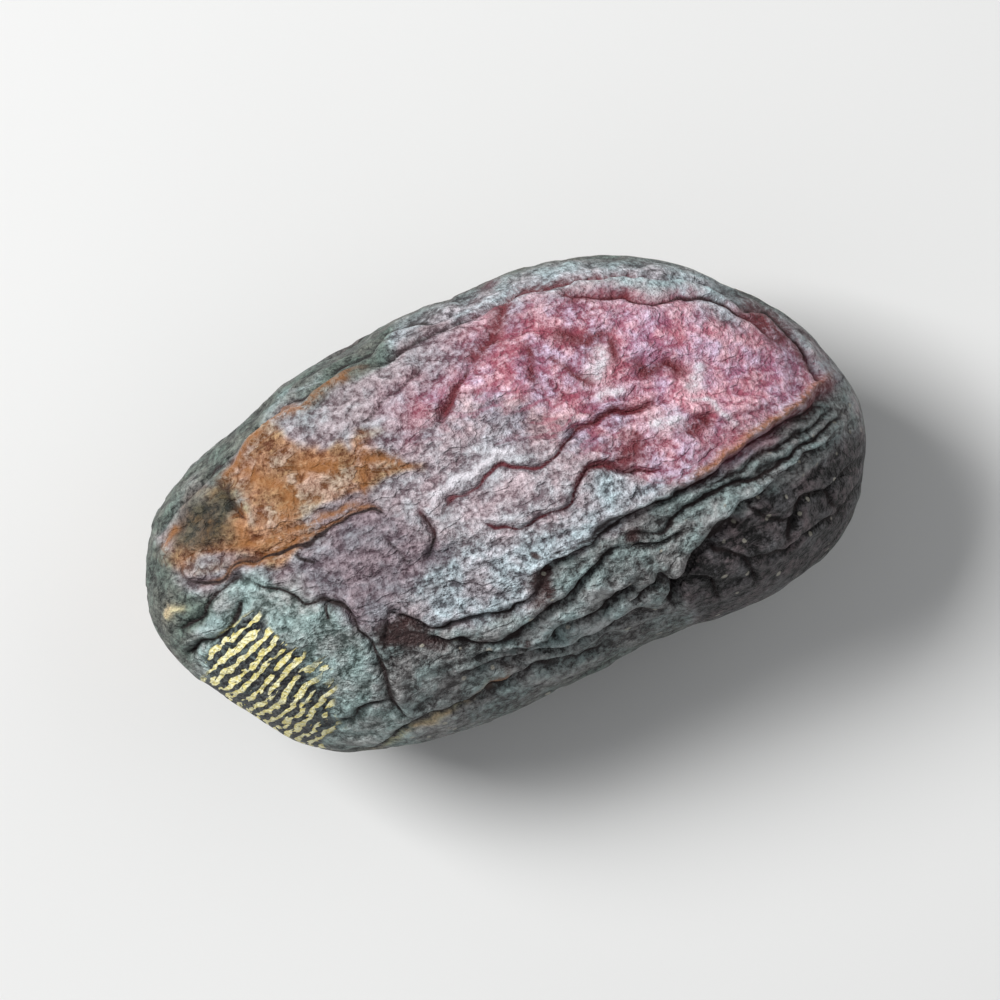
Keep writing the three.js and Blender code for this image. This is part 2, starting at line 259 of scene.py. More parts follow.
# Each patch: outline, width of its soft edge, seed of its spots on the hidden sides, and how rare
# those spots are.
PATCHES = {
    "lavender": (LAVENDER, 1.2, 43, 1.3),
    "plateau": (PLATEAU, 1.9, 31, 0.7),
    "red": (RED_TIP, 1.8, 32, 1.4),
    "milky": (MILKY, 1.2, 42, 1.2),
    "middle": (GREY_MIDDLE, 1.0, 38, 0.6),
    "pale": (PALE_BAND, 1.2, 37, 0.8),
    "lower": (LOWER_SIDE, 0.6, 41, 0.2),
    "slate": (SLATE, 0.9, 35, 0.4),
    "tan": (TAN_PATCH, 0.45, 33, 1.7),
    "umber": (UMBER_PATCH, 0.8, 39, 1.9),
    "hatch": (HATCHED, 0.8, 34, 9.0),
    "dark": (DARK_FLANK, 0.7, 36, 0.8),
    "bald": (BALD_PATCH, 0.6, 40, 1.3),
}
HIDDEN_SHARE = 0.65  # how strong a spot of another kind of skin is on the sides that face down
RIM_SHARE = 0.90  # how much of the far rim is pale skin
SHADE_SHARE = 0.95  # how strongly the flank's painted shade covers the stem side and the far side

# How deep the wrinkles are that grow all over, and how high the skin swells between them.
BROAD_DEPTH = 0.55
MEDIUM_DEPTH = 0.32
FINE_DEPTH = 0.07
SWELL = 0.10
RIPPLE = 0.022
TOP_CALM = 0.78  # how much of the broad wrinkles the side that shows goes without

# The profile of a listed fold.
FOLD_SLIMNESS = 0.82  # scales every half width
LIP_PLACE = 2.2  # the lip beside a fold stands this many half widths from its line
LIP_SPREAD = 1.3
LIP_SHARE = 0.25  # its height, as a share of the fold's depth
STEP_REACH = 1.8  # the distance over which a step fades out

# Each kind of skin: what is left bare, and the wax bloom that covers most of it.
BARE_SKIN = (0.096, 0.072, 0.079)
BLOOM = (0.57, 0.535, 0.552)
KINDS = {
    "lavender": ((0.12, 0.052, 0.07), (0.68, 0.565, 0.615)),
    "plateau": ((0.26, 0.082, 0.118), (0.95, 0.8, 0.89)),
    "red": ((0.39, 0.152, 0.212), (1.0, 0.83, 0.92)),
    "milky": ((0.165, 0.122, 0.137), (0.79, 0.738, 0.772)),
    "middle": ((0.096, 0.068, 0.082), (0.45, 0.412, 0.446)),
    "pale": ((0.084, 0.085, 0.095), (0.83, 0.92, 0.97)),
    "lower": ((0.036, 0.035, 0.034), (0.43, 0.49, 0.475)),
    "slate": ((0.062, 0.086, 0.078), (0.57, 0.69, 0.66)),
    "tan": ((0.115, 0.04, 0.011), (0.64, 0.475, 0.335)),
    "umber": ((0.018, 0.017, 0.011), (0.165, 0.13, 0.08)),
    # flank: painted shade on the sides that face down, the stem side and the far side, over a
    # slightly duller skin.
    "flank": ((0.011, 0.014, 0.011), (0.2, 0.24, 0.2)),
    "bald": ((0.05, 0.026, 0.025), (0.3, 0.29, 0.285)),
    # dark: the dark flank's own skin, made near black as painted shade.
    "dark": ((0.003, 0.002, 0.002), (0.225, 0.2, 0.206)),
}
STRAW = (0.7, 0.61, 0.36)
CHALK = (0.43, 0.525, 0.52)
RUST = (0.35, 0.142, 0.04)
WINE = (0.15, 0.022, 0.03)
FROST = (0.8, 0.76, 0.81)
NET = (0.3, 0.07, 0.115)
SPECK = (0.5, 0.47, 0.39)
WARM_TINT = (1.07, 0.935, 0.955)
COOL_TINT = (0.925, 1.02, 1.035)
PEACH_TINT = (1.12, 1.16, 1.26)
TOAST_TINT = (0.92, 0.76, 0.56)
SALMON_TINT = (1.07, 0.915, 0.905)
MAGENTA_TINT = (1.01, 0.89, 1.02)
# The creases' colours: the skin's own dark lines, deepened into painted shade.
DARK_CREASE = (0.016, 0.007, 0.007)
RED_CREASE = (0.12, 0.014, 0.022)
HATCH_GAP = (0.004, 0.004, 0.008)
HATCH_DASH = (1.0, 0.97, 0.64)
HATCH_SHADE = (0.8, 0.69, 0.23)

# How much wax each pattern and each mark adds, or takes away.
COVER_PATTERNS = {
    "clouds": 0.8, "blotches": 1.3, "grain": 3.0, "dust": 1.8, "pebbles": -1.6, "vein": -0.3,
}
# lip: more wax on the lips beside the folds, partly a painted highlight along their ridges; groove,
# valley, wild and dark: less wax, partly bare skin and partly painted shade.
COVER_MARKS = {
    "lip": 0.4, "chalk": 0.5, "frost": 0.7, "straw": 1.1, "valley": -0.4, "groove": -0.9,
    "wild": -0.7, "bald": -0.8, "dark": -0.3,
}
COVER_MIDDLE = -2.6  # centres the sum on 0, so that bloom covers about half
COVER_SPAN = 1.02  # bare skin at minus this, and full bloom at this

# The height of the skin's own grain, and how much each pattern gives to it.
GRAIN_DEPTH = 0.34
GRAIN_HEIGHTS = {
    "grain": 0.9, "dust": 0.2, "pebbles": -0.3, "vein": -0.25, "blotches": 1.0,
}
DASH_HEIGHT = 0.8

# The hatching: the direction of its dashes and the distance between their rows.
HATCH_TURN = math.radians(25)
HATCH_PITCH = 0.74

# The calyx: its rings and columns, and how its radius and thickness are shared out.
CALYX_RINGS = 70
CALYX_COLUMNS = 150
CALYX_LOBES = 3
CALYX_STEP = 0.30
CALYX_INNER = 0.66  # the inner lobes' reach, as a share of the radius
CALYX_SCAR = 0.27  # the stalk's scar, as a share of the radius
CALYX_COLLAR = 1.35 * CALYX_SCAR
CALYX_DOME = 0.55  # heights are shares of half the cap's thickness
CALYX_SEAM = 0.035
BARK_BROWN = (0.300, 0.125, 0.034)
BARK_TAN = (0.560, 0.290, 0.090)
BARK_DUST = (0.680, 0.440, 0.200)
# The calyx's painted shade in its hollows.
BARK_HOLLOW = (0.085, 0.034, 0.012)

# The floor, the lights and the camera, in metres.  A light is (name, place, size, watts).
FLOOR_HALF = 1.5
FLOOR_TONES = ((0.73, 0.73, 0.72), (0.77, 0.77, 0.76))
LIGHTS = [
    ("key_light", (-0.37, 0.34, 0.55), 0.30, 6.3),
    ("fill_light", (0.55, 0.05, 0.45), 0.60, 0.7),
]
LIGHT_TARGET = (0, 0, 0.01)
SKY_COLOUR = (0.95, 0.97, 1.0, 1)
SKY_STRENGTH = 0.27
CAMERA_LENS = 235
CAMERA_SENSOR = 36
CAMERA_HEIGHT = 0.43  # above the date's top
CAMERA_TURN = math.radians(-18.3)

SEED = 20


# ----- The grid of the fruit's skin -----


def smooth_step(value, low, high):
    """0 below low, 1 above high, and a smooth rise between them."""
    part = np.clip((value - low) / (high - low), 0, 1)
    return part * part * (3 - 2 * part)


def spine_point(fraction, stem, middle, tip):
    """A point of the spine and its direction there."""
    rest = 1 - fraction
    point = stem * rest**2 + middle * (2 * rest * fraction) + tip * fraction**2
    along = (middle - stem) * (2 * rest) + (tip - middle) * (2 * fraction)
    return point, along.normalized()


class Skin:
    """The fruit's surface as a grid of rings and columns, found by rays sent out from its spine."""

    def __init__(self, fruit):
        low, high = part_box("date_fruit")
        calyx_low, calyx_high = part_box("calyx")
        size = high - low
        foot = Vector(((low.x + high.x) / 2, (low.y + high.y) / 2, low.z))
        self.foot = foot
        self.stem = (calyx_low + calyx_high) / 2
        self.middle = foot + Vector([share * extent for share, extent in zip(SPINE_MIDDLE, size)])
        corners = [vertex.co.copy() for vertex in fruit.data.vertices]
        self.tip = max(corners, key=lambda corner: corner.x)
        triangles = [tuple(face.vertices) for face in fruit.data.polygons]
        self.tree = BVHTree.FromPolygons(corners, triangles)
        even = [2 * math.pi * column / COLUMNS for column in range(COLUMNS)]
        self.turns = [turn + TOP_DENSITY * math.cos(turn) for turn in even]
        self.sweeps = self.even_sweeps()
        self.start, self.out, reach = self.cast_all()
        self.measure(reach)
        self.measure(self.blur(reach, CAD_SMOOTHING, CAD_SMOOTHING))

    def cast(self, sweep, turn):
        """A ray at this angle from the stem end and turn round the spine: start, way, reach."""
        low, high = SPINE_USED
        fraction = low + (high - low) * (1 - math.cos(sweep)) / 2
        point, along = spine_point(fraction, self.stem, self.middle, self.tip)
        across = Vector((0, 0, 1)).cross(along).normalized()
        up = along.cross(across)
        side = across * math.cos(turn) + up * math.sin(turn)
        direction = side * math.sin(sweep) - along * math.cos(sweep)
        reach = self.tree.ray_cast(point, direction)[3]
        return point, direction, reach

    def even_sweeps(self):
        """Angles from the stem end that put the rings at even distances along the skin."""
        samples = np.linspace(0.002, math.pi - 0.002, 240)
        length = np.zeros(len(samples))
        for turn in self.turns[:: COLUMNS // 8]:
            rays = [self.cast(sweep, turn) for sweep in samples]
            line = np.array([point + direction * reach for point, direction, reach in rays])
            steps = np.linalg.norm(np.diff(line, axis=0), axis=1)
            length[1:] += np.cumsum(steps)
        wanted = (np.arange(RINGS) + 0.5) / RINGS * length[-1]
        return np.interp(wanted, length, samples)

    def cast_all(self):
        """The start, direction and reach of the ray through every place of the grid."""
        rays = [[self.cast(sweep, turn) for turn in self.turns] for sweep in self.sweeps]
        start = np.array([[ray[0] for ray in ring] for ring in rays]) / METRES
        out = np.array([[ray[1] for ray in ring] for ring in rays])
        reach = np.array([[ray[2] for ray in ring] for ring in rays]) / METRES
        return start, out, reach

    def plan(self):
        """Each place's x and y, measured from the middle of the fruit's foot."""
        return self.base[..., 0] - self.foot.x / METRES, self.base[..., 1] - self.foot.y / METRES

    def measure(self, reach):
        """Where the grid lies at this reach, its spacing, and the direction that the skin faces."""
        self.base = self.start + self.out * reach[..., None]
        past_ends = self.extend(self.base, 1)
        along = past_ends[2:] - past_ends[:-2]
        around = np.roll(self.base, -1, axis=1) - np.roll(self.base, 1, axis=1)
        normal = np.cross(around, along)
        normal /= np.linalg.norm(normal, axis=2, keepdims=True) + 1e-12
        outward = np.sum(normal * self.out, axis=2).mean()
        self.normal = normal if outward > 0 else -normal
        self.around_mm = np.linalg.norm(around, axis=2).mean(axis=1) / 2
        self.ring_mm = float(np.linalg.norm(along[2:-2], axis=2).mean() / 2)

    def extend(self, field, count):
        """The field with rings added past both ends, as they go on beyond each pole."""
        half = COLUMNS // 2
        before = np.roll(field[:count][::-1], half, axis=1)
        after = np.roll(field[-count:][::-1], half, axis=1)
        return np.concatenate([before, field, after])

    def blur(self, field, along, around):
        """The field smoothed over these distances in millimetres."""
        reach = max(1, int(math.ceil(3 * along / self.ring_mm)))
        wide = self.extend(field, reach)
        offsets = np.arange(-reach, reach + 1) * self.ring_mm
        weights = np.exp(-0.5 * (offsets / along) ** 2)
        weights /= weights.sum()
        mixed = sum(weight * wide[shift : shift + RINGS] for shift, weight in enumerate(weights))
        waves = np.fft.rfftfreq(COLUMNS)[None, :] / self.around_mm[:, None]
        keep = np.exp(-2 * (math.pi * around * waves) ** 2)
        return np.fft.irfft(np.fft.rfft(mixed, axis=1) * keep, COLUMNS, axis=1)

    def noise(self, seed, along, around):
        """Smooth noise with a mean of 0 and a spread of 1, and blobs about this size."""
        random = np.random.default_rng(SEED * 1000 + seed)
        field = self.blur(random.standard_normal((RINGS, COLUMNS)), along, around)
        field -= field.mean()
        return field / field.std()

    def labyrinth(self, seed, spacing, stretch, lean, rounds=70):
        """Plateaus (1) parted by narrow winding valleys (-1), this far apart round the fruit."""
        near = spacing / 6.5
        field = self.noise(seed, near * stretch, near) * 0.2
        for _ in range(rounds):
            inner = self.blur(field, near * stretch, near)
            outer = self.blur(field, 2 * near * stretch, 2 * near)
            field = np.clip(3.2 * (inner - outer) + lean, -1, 1)
        return field


# ----- Relief -----


def curve_through(points, steps=6):
    """A smooth line through given points, as more points."""
    corners = np.array(points, float)
    ends = np.vstack([2 * corners[0] - corners[1], corners, 2 * corners[-1] - corners[-2]])
    line = []
    for index in range(1, len(ends) - 2):
        before, here, there, after = ends[index - 1 : index + 3]
        for part in np.arange(steps) / steps:
            straight = 2 * here + (there - before) * part
            bend = (2 * before - 5 * here + 4 * there - after) * part**2
            twist = (3 * here - before - 3 * there + after) * part**3
            line.append(0.5 * (straight + bend + twist))
    line.append(ends[-2])
    return np.array(line)


def distance_to_line(x, y, line):
    """Each place's distance from a line, its side (left is 1), and its part of the way (0 to 1)."""
    best = np.full(x.shape, 1e9)
    side = np.ones(x.shape)
    along = np.zeros(x.shape)
    for index in range(len(line) - 1):
        start, step = line[index], line[index + 1] - line[index]
        part = np.clip(((x - start[0]) * step[0] + (y - start[1]) * step[1]) / (step @ step), 0, 1)
        off_x = x - start[0] - part * step[0]
        off_y = y - start[1] - part * step[1]
        distance = np.hypot(off_x, off_y)
        closer = distance < best
        best = np.where(closer, distance, best)
        side = np.where(closer, np.sign(step[0] * off_y - step[1] * off_x), side)
        along = np.where(closer, (index + part) / (len(line) - 1), along)
    return best, side, along


def patch(x, y, corners, edge):
    """1 inside an outline and 0 outside, with a soft edge this wide."""
    corners = np.array(corners, float)
    closed = np.vstack([corners, corners[:1]])
    distance, _, _ = distance_to_line(x, y, closed)
    inside = np.zeros(x.shape, bool)
    for (x1, y1), (x2, y2) in zip(closed[:-1], closed[1:]):
        crosses = (y1 > y) != (y2 > y)
        inside ^= crosses & (x < (x2 - x1) * (y - y1) / (y2 - y1 + 1e-12) + x1)
    return smooth_step(np.where(inside, distance, -distance), -edge, edge)


def add_fold(relief, marks, place, fold):
    """Presses one crease into the relief, with a rounded lip on each side of it."""
    depth, width, step, points = fold
    width *= FOLD_SLIMNESS
    line = curve_through(points)
    low = line.min(axis=0) - 4
    high = line.max(axis=0) + 4
    x, y, seen = place
    near = (x > low[0]) & (x < high[0]) & (y > low[1]) & (y < high[1]) & (seen > 0)
    distance, side, along = distance_to_line(x[near], y[near], line)
    taper = smooth_step(np.minimum(along, 1 - along), -0.05, 0.12) * seen[near]
    groove = np.exp(-((distance / width) ** 1.5)) * taper
    lip = np.exp(-(((distance - LIP_PLACE * width) / (LIP_SPREAD * width)) ** 2)) * taper
    lift = step * np.exp(-distance / STEP_REACH) * side * smooth_step(distance, 0, width) * taper
    relief[near] += lift + LIP_SHARE * depth * lip - depth * groove
    strength = min(1, 0.25 + depth / 0.5)
    closer = groove * strength > marks["groove"][near]
    marks["line"][near] = np.where(closer, 0.5 + 0.5 * side * distance, marks["line"][near])
    marks["groove"][near] = np.maximum(marks["groove"][near], groove * strength)
    marks["lip"][near] = np.maximum(marks["lip"][near], lip * strength)


def add_stroke(relief, mark, place, stroke):
    """Raises or sinks one rounded line of the relief, and marks it."""
    height, width, points = stroke
    x, y, seen = place
    distance, _, along = distance_to_line(x, y, curve_through(points))
    taper = smooth_step(np.minimum(along, 1 - along), -0.06, 0.18) * seen
    crest = np.exp(-((distance / width) ** 2)) * taper
    relief += height * crest
    mark[:] = np.maximum(mark, crest)


def grown_wrinkles(skin, relief, marks):
    """Presses broad, medium and fine wrinkles into the relief; the upper side has few broad ones."""
    ends = smooth_step(skin.around_mm, 0.02, 0.12)[:, None]
    hidden = 1 - TOP_CALM * smooth_step(skin.normal[..., 2], -0.12, 0.12)
    broad = skin.labyrinth(seed=11, spacing=6.4, stretch=2.6, lean=0.05)
    medium = skin.labyrinth(seed=12, spacing=2.9, stretch=2.8, lean=0.10)
    fine = skin.labyrinth(seed=13, spacing=1.35, stretch=1.7, lean=0.08, rounds=40)
    broad_valley = smooth_step(-skin.blur(broad, 0.6, 0.45), -0.35, 0.9)
    medium_valley = smooth_step(-skin.blur(medium, 0.22, 0.22), -0.3, 0.95)
    fine_valley = smooth_step(-fine, -0.2, 1.0)
    strength = 0.75 + 0.25 * np.clip(skin.noise(14, 5, 4), -1.5, 1.5)
    relief -= BROAD_DEPTH * hidden * broad_valley * ends
    relief -= MEDIUM_DEPTH * (0.32 + 0.68 * hidden) * strength * medium_valley * ends
    relief -= FINE_DEPTH * fine_valley * ends
    relief += (SWELL * skin.noise(15, 3.0, 1.6) + RIPPLE * skin.noise(16, 0.45, 0.4)) * ends
    marks["valley"] = fine_valley * ends
    # wild marks the deep valleys, which the material darkens as painted shade.
    broad_mark = broad_valley**2 * hidden * ends
    medium_mark = 0.8 * medium_valley**2 * (0.22 + 0.78 * hidden) * ends
    marks["wild"] = np.maximum(broad_mark, medium_mark)


def relief_of(skin):
    """The height of every wrinkle, and how much each place is each kind of mark."""
    x, y = skin.plan()
    x = x + 0.15 * skin.noise(1, 0.7, 0.9)
    y = y + 0.15 * skin.noise(2, 0.7, 0.9) + 0.07 * skin.noise(3, 0.32, 0.45)
    open_to_view = smooth_step(skin.normal[..., 2], 0.0, 0.32)
    relief = np.zeros(x.shape)
    marks = {name: np.zeros(x.shape) for name in ("groove", "lip", *STROKES)}
    marks["line"] = np.ones(x.shape)
    grown_wrinkles(skin, relief, marks)
    for fold in FOLDS:
        add_fold(relief, marks, (x, y, open_to_view), fold)
    for tone, strokes in STROKES.items():
        for stroke in strokes:
            add_stroke(relief, marks[tone], (x, y, open_to_view), stroke)
    return relief, marks


def kinds_of_skin(skin):
    """How much each place is of each kind of skin, and how bare it is, from 0 to 1; the flank is
    painted shade.
    """
    x, y = skin.plan()
    seen = smooth_step(skin.normal[..., 2], -0.15, 0.2)
    wander_x = x + 0.45 * skin.noise(21, 1.6, 1.4) + 0.22 * skin.noise(22, 0.6, 0.6)
    wander_y = y + 0.45 * skin.noise(23, 1.6, 1.4) + 0.22 * skin.noise(24, 0.6, 0.6)
    kinds = {}
    for name, (outline, edge, seed, rarity) in PATCHES.items():
        above = patch(wander_x, wander_y, outline, edge)
        below = smooth_step(skin.noise(seed, 5.0, 3.6), rarity - 0.15, rarity + 0.35)
        kinds[name] = seen * above + HIDDEN_SHARE * (1 - seen) * below
    for spot_x, spot_y, radius in BARE_SPOTS:
        distance = np.hypot(wander_x - spot_x, wander_y - spot_y)
        spot = smooth_step(-distance, -radius, -0.4 * radius)
        kinds["bald"] = np.maximum(kinds["bald"], seen * spot)
    rim = RIM_SHARE * seen * patch(wander_x, wander_y, FAR_RIM, 0.5)
    kinds["pale"] = np.maximum(kinds["pale"], rim)
    kinds["plateau"] *= 1 - rim
    # The flank: painted shade on the sides that face down, and on the stem side and the far side.
    kinds["flank"] = smooth_step(-skin.normal[..., 2], -0.50, 0.05)
    for outline in (STEM_SIDE, FAR_SIDE):
        shaded = seen * patch(wander_x, wander_y, outline, 0.8)
        kinds["flank"] = np.maximum(kinds["flank"], SHADE_SHARE * shaded)
        kinds["slate"] = np.maximum(kinds["slate"], shaded)
    return kinds


# ----- Meshes -----


def grid_faces(rings, columns):
    """The faces of a closed grid, and where each one's corners are on it: (column, ring).

    Quads join the rings.  A fan of triangles at each end meets in a corner of its own; these two
    come after the grid's corners.
    """
    faces = []
    maps = []
    for ring in range(rings - 1):
        for column in range(columns):
            after = (column + 1) % columns
            here = ring * columns
            there = here + columns
            faces.append((here + column, there + column, there + after, here + after))
            right, above = column + 1, ring + 1
            maps.append(((column, ring), (column, above), (right, above), (right, ring)))
    first_end = rings * columns
    last = first_end - columns
    for column in range(columns):
        after = (column + 1) % columns
        faces.append((first_end, column, after))
        maps.append(((column + 0.5, -1), (column, 0), (column + 1, 0)))
        faces.append((first_end + 1, last + after, last + column))
        maps.append(((column + 0.5, rings), (column + 1, rings - 1), (column, rings - 1)))
    return faces, maps


def closed_mesh(name, grid):
    """A mesh from a grid of corners in millimetres, and its faces' places on the grid."""
    rings, columns = grid.shape[:2]
    corners = np.vstack([grid.reshape(-1, 3), grid[0].mean(axis=0), grid[-1].mean(axis=0)])
    faces, maps = grid_faces(rings, columns)
    mesh = bpy.data.meshes.new(name)
    mesh.from_pydata((corners * METRES).tolist(), [], faces)
    return mesh, maps


def unroll(mesh, maps):
    """Gives the skin a flat layout: columns across and rings up, with a small margin."""
    layer = mesh.uv_layers.new(name="OFBake")
    flat = np.array([corner for face in maps for corner in face], float)
    flat[:, 0] = 0.01 + 0.98 * flat[:, 0] / COLUMNS
    flat[:, 1] = 0.01 + 0.98 * (flat[:, 1] + 1) / (RINGS + 1)
    layer.data.foreach_set("uv", flat.astype(np.float32).ravel())


def fruit_mesh(skin, relief):
    """The skin pressed by its relief, and never below the floor."""
    place = skin.base + skin.normal * (relief - SKIN_INSET)[..., None]
    place[..., 2] = np.maximum(place[..., 2], 0)
    mesh, maps = closed_mesh("fruit_skin", place)
    unroll(mesh, maps)
    return mesh


def store(mesh, name, field):
    """Keeps a field of the grid on the mesh, for its material to read."""
    values = np.concatenate([field.ravel(), [field[0].mean(), field[-1].mean()]])
    attribute = mesh.attributes.new(name, "FLOAT", "POINT")
    attribute.data.foreach_set("value", values.astype(np.float32))


# ----- Materials -----


class Finish:
    """A material and short ways to add nodes to it."""

    def __init__(self, name):
        self.material = bpy.data.materials.new(name)
        self.material.use_nodes = True
        self.tree = self.material.node_tree
        self.shader = self.tree.nodes["Principled BSDF"]
        self.place = self.add("ShaderNodeTexCoord").outputs["Object"]
        self.fields = {}

    def add(self, kind, inputs=(), **settings):
        """A node with these inputs, by name or number, and these settings."""
        node = self.tree.nodes.new(kind)
        for setting, value in settings.items():
            setattr(node, setting, value)
        for name, value in dict(inputs).items():
            self.put(node.inputs[name], value)
        return node

    def put(self, socket, value):
        """Links a socket to another, or sets it to a value."""
        if isinstance(value, bpy.types.NodeSocket):
            self.tree.links.new(value, socket)
        elif isinstance(value, tuple) and len(value) == 3 and socket.type == "RGBA":
            socket.default_value = (*value, 1)
        else:
            socket.default_value = value

    def math(self, operation, first, second=0.0, third=0.0):
        """The result of one operation on up to three sockets or numbers."""
        node = self.add("ShaderNodeMath", {0: first, 1: second, 2: third}, operation=operation)
        return node.outputs[0]

    def product(self, first, second):
        return self.math("MULTIPLY", first, second)

    def larger(self, first, second):
        return self.math("MAXIMUM", first, second)

    def off_half(self, value):
        """How far a value is from a half."""
        return self.math("ABSOLUTE", self.math("SUBTRACT", value, 0.5))

    def total(self, *terms):
        """The sum of (socket, weight) pairs."""
        result = 0.0
        for socket, weight in terms:
            result = self.math("MULTIPLY_ADD", socket, weight, result)
        return result

    def ramp(self, value, low, high, to_low=0.0, to_high=1.0, shape="SMOOTHSTEP"):
        """The value taken from one range to another, and held at both ends."""
        ranges = {"From Min": low, "From Max": high, "To Min": to_low, "To Max": to_high}
        inputs = {"Value": value, **ranges}
        node = self.add("ShaderNodeMapRange", inputs, interpolation_type=shape)
        return node.outputs["Result"]

    def mix(self, amount, first, second, blend="MIX"):
        """The first colour where the amount is 0, and the second where it is 1."""
        node = self.add("ShaderNodeMix", data_type="RGBA", blend_type=blend)
        self.put(node.inputs["Factor"], amount)
        self.put(node.inputs[6], first)
        self.put(node.inputs[7], second)
        return node.outputs[2]

    def field(self, name):
        """A field that the mesh carries."""
        if name not in self.fields:
            node = self.add("ShaderNodeAttribute", attribute_name=name)
            self.fields[name] = node.outputs["Fac"]
        return self.fields[name]

    def stretched(self, turn=0.0, size=(1, 1, 1)):
        """Object coordinates along axes turned about Z, in units of these millimetres."""
        node = self.add("ShaderNodeMapping", vector_type="TEXTURE")
        self.put(node.inputs["Vector"], self.place)
        node.inputs["Rotation"].default_value = (0, 0, turn)
        node.inputs["Scale"].default_value = tuple(part * METRES for part in size)
        return node.outputs["Vector"]

    def noise(self, place, size, detail=3.0, roughness=0.55):
        """Cloudy noise from 0 to 1 with blobs about this many millimetres across."""
        inputs = {"Vector": place, "Scale": 1 / size, "Detail": detail, "Roughness": roughness}
        return self.add("ShaderNodeTexNoise", inputs).outputs["Fac"]

    def cells(self, place, size):
        """Distance from the middle of a cell, for cells this many millimetres across."""
        node = self.add("ShaderNodeTexVoronoi", {"Vector": place, "Scale": 1 / size})
        return node.outputs["Distance"]

    def warped(self, place, size, amount):
        """The same place moved about by noise, to bend straight patterns."""
        node = self.add("ShaderNodeTexNoise", {"Vector": place, "Scale": 1 / size, "Detail": 2.0})
        shift = self.add("ShaderNodeVectorMath", operation="MULTIPLY_ADD")
        self.put(shift.inputs[0], node.outputs["Color"])
        shift.inputs[1].default_value = (amount, amount, amount)
        self.put(shift.inputs[2], place)
        return shift.outputs[0]

    def bump(self, height, depth_mm, strength=1.0):
        """Gives the shader a fine relief of this depth."""
        node = self.add("ShaderNodeBump")
        self.put(node.inputs["Height"], height)
        node.inputs["Distance"].default_value = depth_mm * METRES
        node.inputs["Strength"].default_value = strength
        self.put(self.shader.inputs["Normal"], node.outputs["Normal"])


def hatching(look, grain):
    """How much each place is a dash of the hatching, and how much the dark skin between them."""
    hatch = look.field("hatch")
    bent = look.warped(look.warped(look.stretched(HATCH_TURN), 4.5, 1.6), 1.2, 0.55)
    parts = look.add("ShaderNodeSeparateXYZ", {0: bent})
    rows = look.math("PINGPONG", look.math("DIVIDE", parts.outputs["Y"], HATCH_PITCH), 0.5)
    thickness = look.noise(look.stretched(HATCH_TURN, (1.3, 0.42, 1)), 1.0, 1.2)
    width = look.ramp(thickness, 0.33, 0.56, -0.02, 0.34)
    dash = look.ramp(look.math("SUBTRACT", rows, width), -0.05, 0.03, 1, 0)
    dash = look.product(dash, look.ramp(hatch, 0.30, 0.75))
    speckled = look.ramp(grain, 0.38, 0.62, 1.00, 0.72)
    gap = look.product(look.ramp(hatch, 0.35, 0.95), speckled)
    return dash, gap


def skin_patterns(look):
    """The noises that the skin's colour and grain are made of, each from 0 to about 1."""
    millimetres = look.stretched()
    lengthwise = look.warped(look.stretched(size=(1.7, 1, 1)), 2.4, 1.2)
    winding = look.noise(lengthwise, 1.6, 3.0, 0.5)
    return {
        "clouds": look.noise(millimetres, 5.0, 3.0, 0.55),
        "blotches": look.noise(lengthwise, 1.7, 5.0, 0.62),
        "grain": look.noise(millimetres, 0.29, 3.0, 0.65),
        "dust": look.noise(millimetres, 0.12, 2.0, 0.6),
        "pebbles": look.cells(look.warped(millimetres, 0.5, 0.4), 0.48),
        "winding": winding,
        "vein": look.ramp(look.off_half(winding), 0.0, 0.05, 1, 0),
        "net": look.noise(lengthwise, 2.9, 4.0, 0.55),
        "hue": look.noise(look.warped(millimetres, 1.6, 0.8), 2.3, 3.0, 0.6),
        "specks": look.cells(look.warped(millimetres, 2.0, 0.8), 1.5),
    }


def skin_tones(look, clouds):
    """The colour of the bare skin and the colour of the wax, everywhere."""
    lighter = tuple(1.3 * part for part in BARE_SKIN)
    bare = look.mix(look.ramp(clouds, 0.35, 0.65), BARE_SKIN, lighter)
    wax = look.mix(look.ramp(clouds, 0.35, 0.65, 0.0, 0.25), BLOOM, KINDS["pale"][1])
    for name, (bare_tone, wax_tone) in KINDS.items():
        amount = look.field(name)
        bare = look.mix(amount, bare, bare_tone)
        wax = look.mix(amount, wax, wax_tone)
    wax = look.mix(look.product(look.field("chalk"), 0.7), wax, CHALK)
    wax = look.mix(look.field("straw"), wax, STRAW)
    return bare, wax


def wax_cover(look, patterns):
    """How much wax there is: below 0 more bare skin shows, above 0 more bloom."""
    terms = [(patterns[name], weight) for name, weight in COVER_PATTERNS.items()]
    terms += [(look.field(name), weight) for name, weight in COVER_MARKS.items()]
    return look.total(*terms, (COVER_MIDDLE, 1.0))


def with_tints(look, colour, patterns):
    """The colour with the plateau's red net, small changes of hue, and specks of dust."""
    plateau = look.field("plateau")
    net = look.product(look.ramp(look.off_half(patterns["net"]), 0.0, 0.045, 0.70, 0.0), plateau)
    colour = look.mix(net, colour, NET)
    tint = look.mix(look.ramp(patterns["hue"], 0.34, 0.66), COOL_TINT, WARM_TINT)
    flush = look.mix(look.ramp(patterns["hue"], 0.36, 0.62), MAGENTA_TINT, SALMON_TINT)
    toast = look.mix(look.ramp(patterns["winding"], 0.40, 0.60), PEACH_TINT, TOAST_TINT)
    colour = look.mix(1.0, colour, tint, "MULTIPLY")
    colour = look.mix(plateau, colour, flush, "MULTIPLY")
    colour = look.mix(look.field("tan"), colour, toast, "MULTIPLY")
    speck = look.ramp(patterns["specks"], 0.09, 0.15, 0.75, 0.0)
    dusty = look.larger(look.field("dark"), look.field("lower"))
    return look.mix(look.product(speck, dusty), colour, SPECK)


